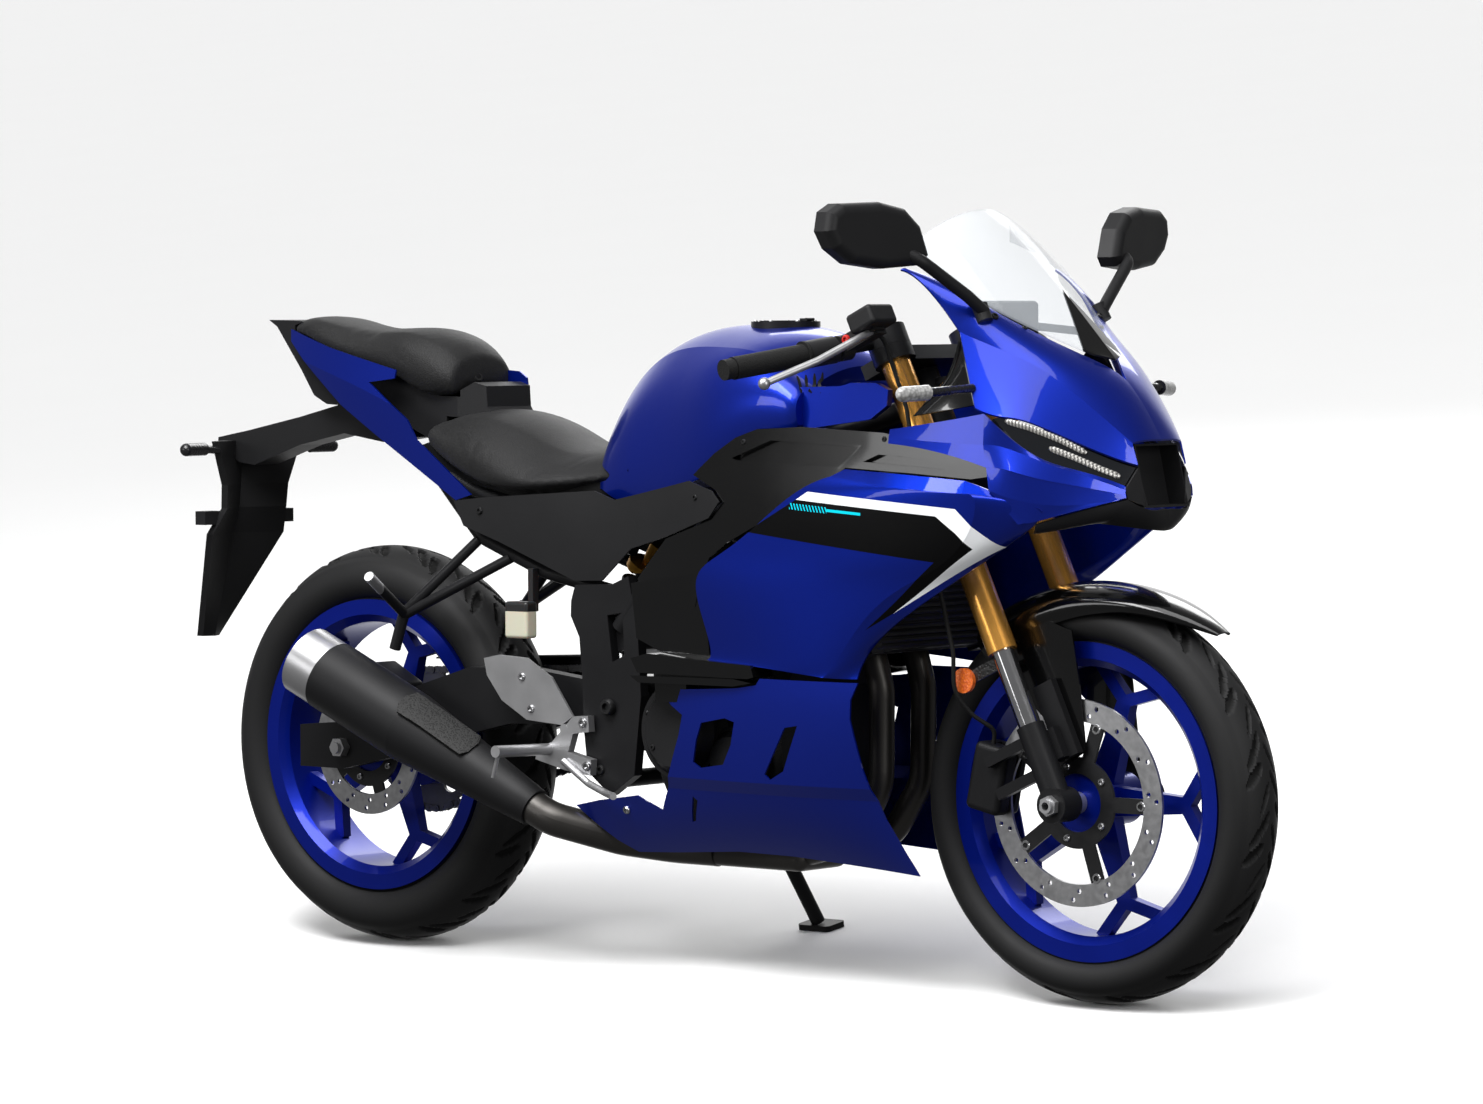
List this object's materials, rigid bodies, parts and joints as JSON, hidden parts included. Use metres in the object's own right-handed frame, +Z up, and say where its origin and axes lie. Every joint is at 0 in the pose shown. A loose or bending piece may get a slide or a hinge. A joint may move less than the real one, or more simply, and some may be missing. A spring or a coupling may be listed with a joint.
{
  "type": "sport motorcycle",
  "caption": "Faired sport motorcycle parked leaning on its side stand, with cast spoked wheels, clip-on handlebars, stepped seat, trellis frame and side silencer.",
  "frame": {"origin": "on the floor, under the middle of the whole machine's bounding box", "axes": "+X forwards, +Y to the rider's left, +Z up; the machine leans 8 degrees towards +Y about a line along X"},
  "size_m": [2.101, 0.812, 1.1889],
  "materials": {
    "tyre_rubber": "matt black tyre rubber",
    "blue_metal": "gloss blue enamel on cast aluminium",
    "blue_paint": "gloss metallic blue paint",
    "black_gloss": "gloss black",
    "black_plastic": "moulded black plastic",
    "black_metal": "satin black paint",
    "gold_metal": "gold anodised tube",
    "chrome_steel": "hard chrome",
    "disc_steel": "ground stainless steel",
    "dark_steel": "oiled and zinc-plated steel",
    "alloy": "cast and brushed aluminium",
    "rubber": "moulded rubber",
    "seat_cover": "textured black seat cover",
    "clear_screen": "clear moulded screen",
    "lamp_glass": "tinted lamp lens",
    "amber_lens": "amber reflector",
    "smoke_lens": "smoked lens in a black housing",
    "red_lens": "red lens",
    "reservoir_plastic": "translucent fluid pot with black cap"
  },
  "bodies": {
    "chassis": {"chain": "dark_steel", "chain_guard": "black_plastic", "dashboard": "black_plastic", "engine_block": "black_metal", "engine_covers": "black_metal", "exhaust_pipes": "black_metal", "fairing_infills": "black_gloss", "filler_ring": "dark_steel", "front_cowl": "blue_paint", "fuel_tank": "blue_paint", "headlamps": "lamp_glass", "indicators": "smoke_lens", "lower_cowls": "blue_paint", "main_frame": "black_metal", "mirrors": "black_plastic", "nose_chin": "black_plastic", "pillion_hangers": "black_metal", "pillion_seat": "seat_cover", "radiator": "black_metal", "rear_axle": "dark_steel", "rear_caliper": "black_metal", "rear_mudguard": "black_plastic", "rear_reservoir": "reservoir_plastic", "rear_shock": "black_metal", "rider_footrests": "alloy", "rider_seat": "seat_cover", "seat_subframe": "black_metal", "side_covers": "black_plastic", "side_fairings": "blue_paint", "silencer": "black_metal", "silencer_end_cap": "alloy", "swingarm": "black_metal", "tail_core": "black_plastic", "tail_fairings": "blue_paint", "tail_lamp": "red_lens", "windscreen": "clear_screen"},
    "steering": {"fork_yokes": "black_metal", "fork_outer_tubes": "gold_metal", "fork_inner_tubes": "chrome_steel", "fork_bottoms": "black_metal", "front_axle": "dark_steel", "front_caliper": "black_metal", "front_mudguard": "black_gloss", "handlebars": "black_metal", "grips": "rubber", "hand_controls": "black_plastic", "control_levers": "alloy", "reflectors": "amber_lens", "brake_hose": "rubber"},
    "front_wheel": {"front_tyre": "tyre_rubber", "front_rim": "blue_metal", "front_disc": "disc_steel"},
    "rear_wheel": {"rear_tyre": "tyre_rubber", "rear_rim": "blue_metal", "rear_disc": "disc_steel", "rear_sprocket": "dark_steel"},
    "side_stand": {"side_stand": "black_metal"},
    "filler_lid": {"filler_lid": "dark_steel"}
  },
  "joints": [
    {"name": "steering_turn", "type": "hinge", "parent": "chassis", "child": "steering", "pos_m": [0.8525, -0.15407, 0.00068], "axis": [-0.4226, 0.1261, 0.8975], "range_deg": [-27, 27]},
    {"name": "front_wheel_spin", "type": "hinge", "parent": "steering", "child": "front_wheel", "pos_m": [0.7575, -0.11329, 0.29083], "axis": [0, 0.9903, -0.1392], "continuous": true},
    {"name": "rear_wheel_spin", "type": "hinge", "parent": "chassis", "child": "rear_wheel", "pos_m": [-0.6225, -0.11037, 0.31162], "axis": [0, 0.9903, -0.1392], "continuous": true},
    {"name": "side_stand_fold", "type": "hinge", "parent": "chassis", "child": "side_stand", "pos_m": [-0.0225, 0.02926, 0.22737], "axis": [0.0585, 0.9277, 0.3687], "range_deg": [0, 94]},
    {"name": "filler_lid_open", "type": "hinge", "parent": "chassis", "child": "filler_lid", "pos_m": [0.2235, -0.01715, 0.97491], "axis": [0, 0.9903, -0.1392], "range_deg": [0, 85]}
  ]
}
